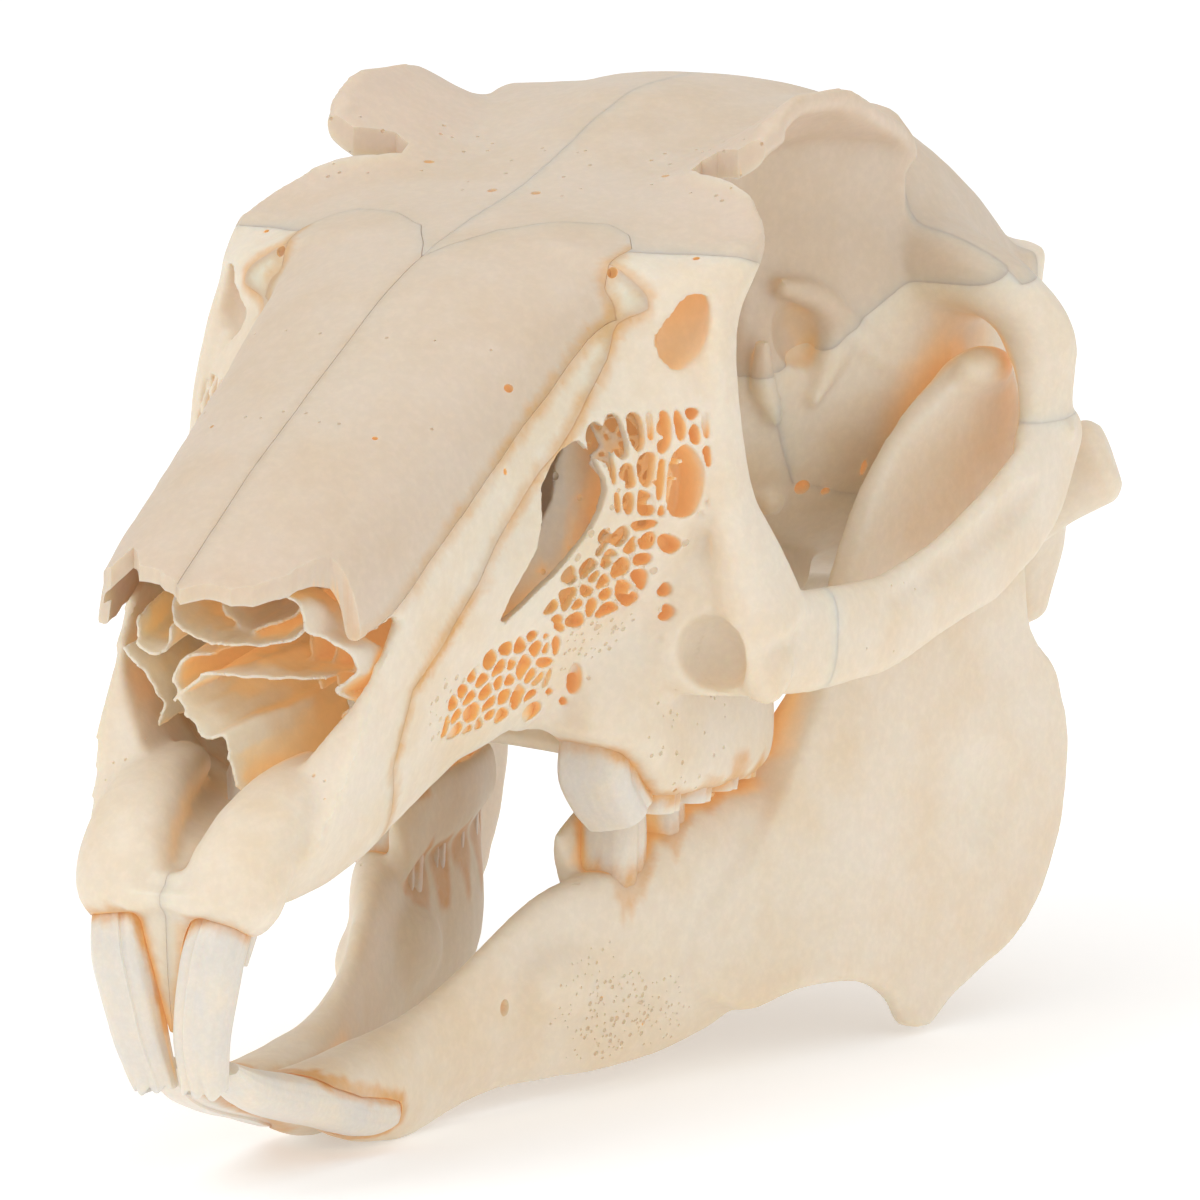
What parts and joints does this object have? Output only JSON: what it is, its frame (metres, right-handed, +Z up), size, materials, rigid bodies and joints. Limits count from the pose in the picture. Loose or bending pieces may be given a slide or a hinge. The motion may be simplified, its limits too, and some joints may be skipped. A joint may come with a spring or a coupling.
{
  "type": "jackrabbit skull",
  "caption": "Life-size dry skull of a jackrabbit with the lower jaw closed under it, a still museum specimen of separate bones and teeth.",
  "frame": {"origin": "centre of the footprint, on the floor under the lower jaw", "axes": "+X to the animal's left, +Y from the nose to the back of the head, +Z up"},
  "size_m": [0.046, 0.0928, 0.0563],
  "materials": {
    "bone": "dry bleached bone, satin",
    "roof_bone": "dry bleached bone, slightly greyer",
    "tooth": "white enamel, smooth"
  },
  "bodies": {
    "root": {"nasal_left": "roof_bone", "nasal_right": "roof_bone", "premaxilla_left": "bone", "premaxilla_right": "bone", "maxilla_left": "bone", "maxilla_right": "bone", "frontal_left": "roof_bone", "frontal_right": "roof_bone", "zygomatic_left": "bone", "zygomatic_right": "bone", "parietal_left": "bone", "parietal_right": "bone", "temporal_left": "bone", "temporal_right": "bone", "bulla_left": "bone", "bulla_right": "bone", "upper_incisor_left": "tooth", "upper_incisor_right": "tooth", "peg_tooth_left": "tooth", "peg_tooth_right": "tooth", "mandible_left": "bone", "mandible_right": "bone", "lower_incisor_left": "tooth", "lower_incisor_right": "tooth", "occipital": "bone", "sphenoid": "bone", "palate": "bone"}
  },
  "joints": []
}
